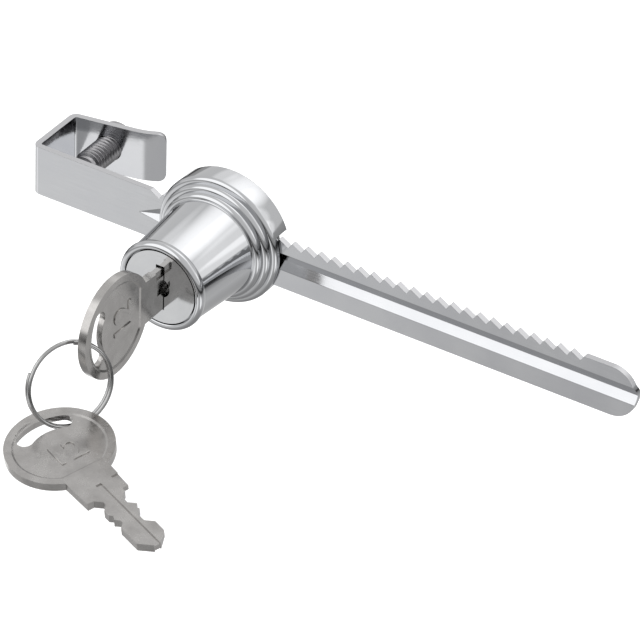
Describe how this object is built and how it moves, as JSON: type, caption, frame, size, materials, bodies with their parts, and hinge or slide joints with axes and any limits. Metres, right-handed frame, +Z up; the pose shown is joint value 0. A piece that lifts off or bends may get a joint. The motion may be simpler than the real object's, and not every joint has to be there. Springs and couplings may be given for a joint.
{
  "type": "glass cabinet lock",
  "caption": "Ratchet lock for sliding glass doors: a toothed bar with a clamping hook, a cylinder lock that slides along it, and keys on a split ring.",
  "frame": {"origin": "the place where the glass sits on the hook's front leg, on the clamp screw's axis and halfway up the bar", "axes": "+X along the bar to its free end, +Y from the front towards the glass and the clamp screw's head, +Z up, to the toothed edge"},
  "size_m": [0.1514, 0.101, 0.0357],
  "materials": {
    "bar_chrome": "polished plate",
    "housing_chrome": "polished plate",
    "plug_chrome": "polished plate",
    "clamp_steel": "turned",
    "cover_steel": "satin",
    "hidden_steel": "satin",
    "spring_steel": "drawn wire",
    "wafer_brass": "stamped",
    "key_nickel": "satin nickel plate",
    "ring_steel": "polished wire"
  },
  "bodies": {
    "bar": {"ratchet_bar": "bar_chrome"},
    "clamp": {"clamp_screw": "clamp_steel"},
    "lock": {"lock_housing": "housing_chrome", "rear_cover": "cover_steel", "cover_screws": "clamp_steel", "stop_pin": "hidden_steel", "pawl_spring": "spring_steel"},
    "cylinder": {"plug": "plug_chrome", "drive_pin": "hidden_steel", "plug_clip": "spring_steel", "wafer_springs_up": "spring_steel", "wafer_springs_down": "spring_steel"},
    "catch": {"pawl": "hidden_steel"},
    "wafers_up": {"wafer_1": "wafer_brass", "wafer_3": "wafer_brass", "wafer_5": "wafer_brass"},
    "wafers_down": {"wafer_2": "wafer_brass", "wafer_4": "wafer_brass"},
    "key": {"lock_key": "key_nickel"},
    "ring": {"key_ring": "ring_steel"},
    "spare": {"spare_key": "key_nickel"}
  },
  "joints": [
    {"name": "clamp_back_off", "type": "slide", "parent": "bar", "child": "clamp", "axis": [0, 1, 0], "range_m": [0, 0.005]},
    {"name": "lock_slide", "type": "slide", "parent": "bar", "child": "lock", "axis": [1, 0, 0], "range_m": [-0.0164, 0.12]},
    {"name": "key_turn", "type": "hinge", "parent": "lock", "child": "cylinder", "pos_m": [0.03974, -0.0136, 0.0009], "axis": [0, 1, 0], "range_deg": [0, 90]},
    {"name": "pawl_drop", "type": "slide", "parent": "lock", "child": "catch", "axis": [0, 0, -1], "range_m": [0, 0.0016], "deforming": ["pawl_spring"]},
    {"name": "key_withdraw", "type": "slide", "parent": "cylinder", "child": "key", "axis": [0, -1, 0], "range_m": [0, 0.028]},
    {"name": "wafers_up_spring", "type": "slide", "parent": "cylinder", "child": "wafers_up", "axis": [0, 0, 1], "range_m": [0, 0.0008], "deforming": ["wafer_springs_up"]},
    {"name": "wafers_down_spring", "type": "slide", "parent": "cylinder", "child": "wafers_down", "axis": [0, 0, -1], "range_m": [0, 0.0008], "deforming": ["wafer_springs_down"]},
    {"name": "ring_swing", "type": "hinge", "parent": "key", "child": "ring", "pos_m": [0.03974, -0.04812, -0.00124], "axis": [0.5042, 0.5281, -0.6833], "range_deg": [-15, 15]},
    {"name": "spare_swing", "type": "hinge", "parent": "ring", "child": "spare", "pos_m": [0.0365, -0.05953, -0.01554], "axis": [0.5438, 0.6677, -0.5084], "range_deg": [-10, 10]}
  ],
  "couplings": [
    {"joint": "pawl_drop", "follows": "key_turn", "m_per_rad": 0.0010174},
    {"joint": "wafers_up_spring", "follows": "key_withdraw", "ratio": 0.0285},
    {"joint": "wafers_down_spring", "follows": "key_withdraw", "ratio": 0.0285}
  ]
}
